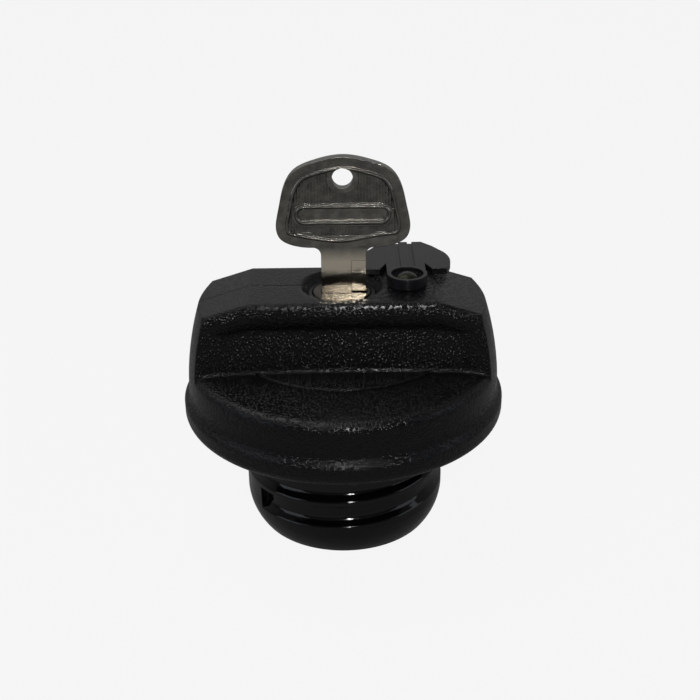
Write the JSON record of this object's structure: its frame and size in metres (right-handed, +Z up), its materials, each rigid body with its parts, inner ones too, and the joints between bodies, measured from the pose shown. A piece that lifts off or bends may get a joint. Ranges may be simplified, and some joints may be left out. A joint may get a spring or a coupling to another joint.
{
  "type": "locking fuel filler cap",
  "caption": "Round black fuel filler cap with a grip bar, a key in its lock, a swung-back dust cover and a threaded plug.",
  "frame": {"origin": "centre of the plug's flat lower end, on the surface that the cap stands on", "axes": "+Z up the plug's axis towards the grip, +X along the grip bar towards the dust cover's rivet, -Y towards the front of the grip"},
  "size_m": [0.0662, 0.0662, 0.0782],
  "materials": {
    "grip_abs": "moulded with a fine spark grain",
    "plug_nylon": "smooth glossy moulding",
    "cover_nylon": "satin moulding",
    "carrier_nylon": "plain moulding",
    "valve_acetal": "natural acetal",
    "cam_acetal": "natural acetal",
    "slip_ptfe": "cut from sheet",
    "seal_rubber": "moulded rubber",
    "key_nickel": "nickel plated",
    "lock_nickel": "nickel plated",
    "lock_zinc": "die cast",
    "barrel_black": "black coated die casting",
    "wafer_brass": "stamped",
    "spring_steel": "drawn wire",
    "screw_steel": "zinc plated",
    "rivet_steel": "passivated"
  },
  "bodies": {
    "plug": {"plug_neck": "plug_nylon", "seal_ring": "seal_rubber", "clutch_ring": "valve_acetal", "thrust_washer": "slip_ptfe", "spring_cage": "valve_acetal", "vent_grille": "valve_acetal"},
    "pressure_valve": {"pressure_poppet": "valve_acetal", "pressure_gasket": "seal_rubber", "pressure_spring": "spring_steel", "vacuum_spring": "spring_steel"},
    "vacuum_valve": {"vacuum_valve": "valve_acetal", "vacuum_stem_cap": "valve_acetal"},
    "grip": {"grip_shell": "grip_abs", "bolt_carrier": "carrier_nylon", "carrier_screws": "screw_steel", "lock_barrel": "barrel_black", "barrel_retainer": "spring_steel", "cover_rivet": "rivet_steel", "rivet_washer": "screw_steel"},
    "cover": {"dust_cover": "cover_nylon"},
    "rotor": {"lock_rotor": "lock_nickel", "rotor_clip": "spring_steel", "cam_plate": "cam_acetal", "wafer_1": "wafer_brass", "wafer_2": "wafer_brass", "wafer_3": "wafer_brass", "wafer_4": "wafer_brass", "wafer_5": "wafer_brass"},
    "key": {"key": "key_nickel"},
    "bolt_back": {"locking_bolt_back": "lock_zinc"},
    "bolt_front": {"locking_bolt_front": "lock_zinc"}
  },
  "joints": [
    {"name": "grip_turn", "type": "hinge", "parent": "plug", "child": "grip", "pos_m": [0, 0, 0.03], "axis": [0, 0, 1], "continuous": true},
    {"name": "pressure_lift", "type": "slide", "parent": "plug", "child": "pressure_valve", "axis": [0, 0, 1], "range_m": [0, 0.002], "stiffness_N_per_m": 400, "springref_m": -0.003, "deforming": ["pressure_spring"]},
    {"name": "vacuum_drop", "type": "slide", "parent": "pressure_valve", "child": "vacuum_valve", "axis": [0, 0, -1], "range_m": [0, 0.0015], "stiffness_N_per_m": 100, "springref_m": -0.002, "deforming": ["vacuum_spring"]},
    {"name": "cover_swing", "type": "hinge", "parent": "grip", "child": "cover", "pos_m": [0.0132, 0, 0.053], "axis": [0, 0, 1], "range_deg": [-200, 25]},
    {"name": "key_turn", "type": "hinge", "parent": "grip", "child": "rotor", "pos_m": [0, 0, 0.045], "axis": [0, 0, -1], "range_deg": [0, 90]},
    {"name": "key_pull", "type": "slide", "parent": "rotor", "child": "key", "axis": [0, 0, 1], "range_m": [0, 0.03]},
    {"name": "bolt_back_slide", "type": "slide", "parent": "grip", "child": "bolt_back", "axis": [0, 1, 0], "range_m": [0, 0.003]},
    {"name": "bolt_front_slide", "type": "slide", "parent": "grip", "child": "bolt_front", "axis": [0, -1, 0], "range_m": [0, 0.003]}
  ],
  "couplings": [
    {"joint": "bolt_back_slide", "follows": "key_turn", "m_per_rad": 0.0019098},
    {"joint": "bolt_front_slide", "follows": "key_turn", "m_per_rad": 0.0019098}
  ]
}
